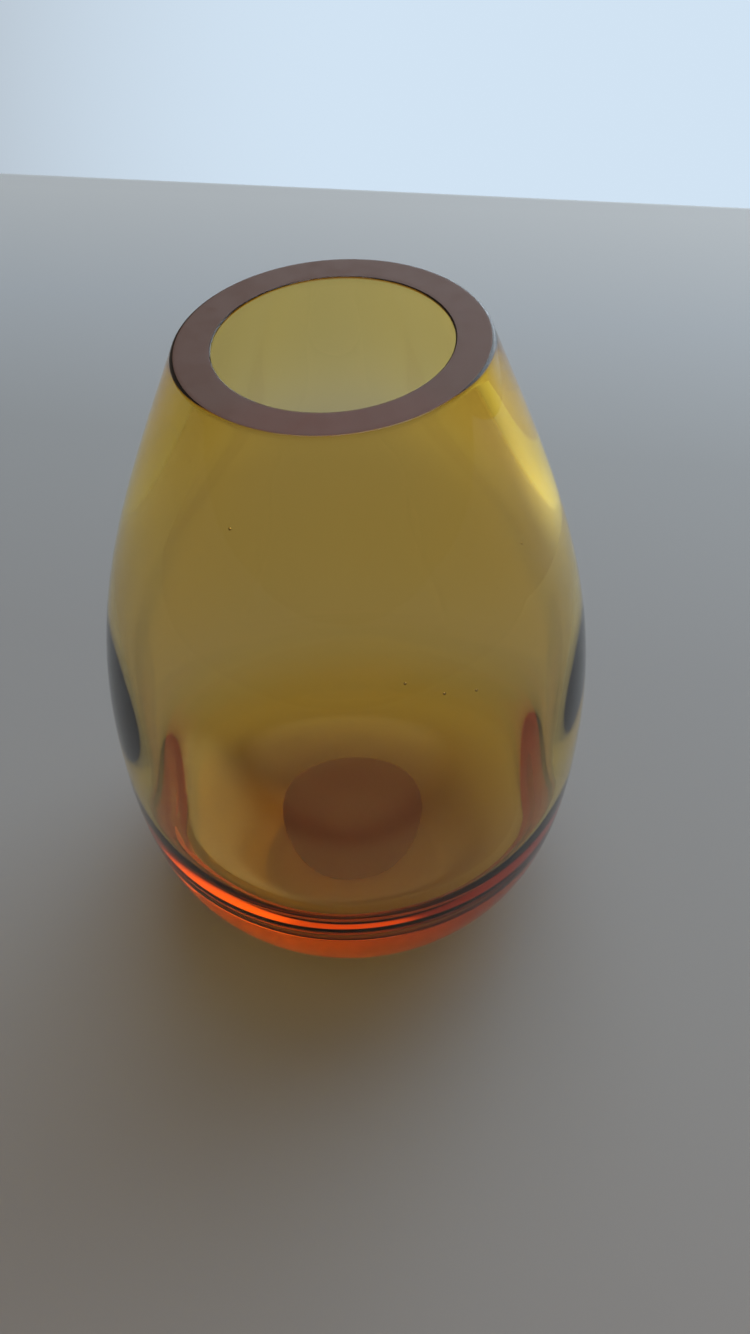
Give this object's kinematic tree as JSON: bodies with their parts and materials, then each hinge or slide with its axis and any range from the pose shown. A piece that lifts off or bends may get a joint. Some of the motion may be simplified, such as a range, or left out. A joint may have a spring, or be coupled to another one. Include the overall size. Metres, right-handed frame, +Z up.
{
  "type": "bud vase",
  "caption": "Stout egg-shaped amber glass bud vase with a thick wall, a ground foot and a flat, slightly slanted rim; holds one or a few short stems.",
  "frame": {"origin": "centre of the ground foot, on the plane that the vase stands on", "axes": "+Z up through the middle of the mouth; +X towards the side where the slanted rim is highest"},
  "size_m": [0.0826, 0.0826, 0.113],
  "materials": {
    "amber_glass": "polished"
  },
  "bodies": {
    "root": {"glass_body": "amber_glass"}
  },
  "joints": []
}
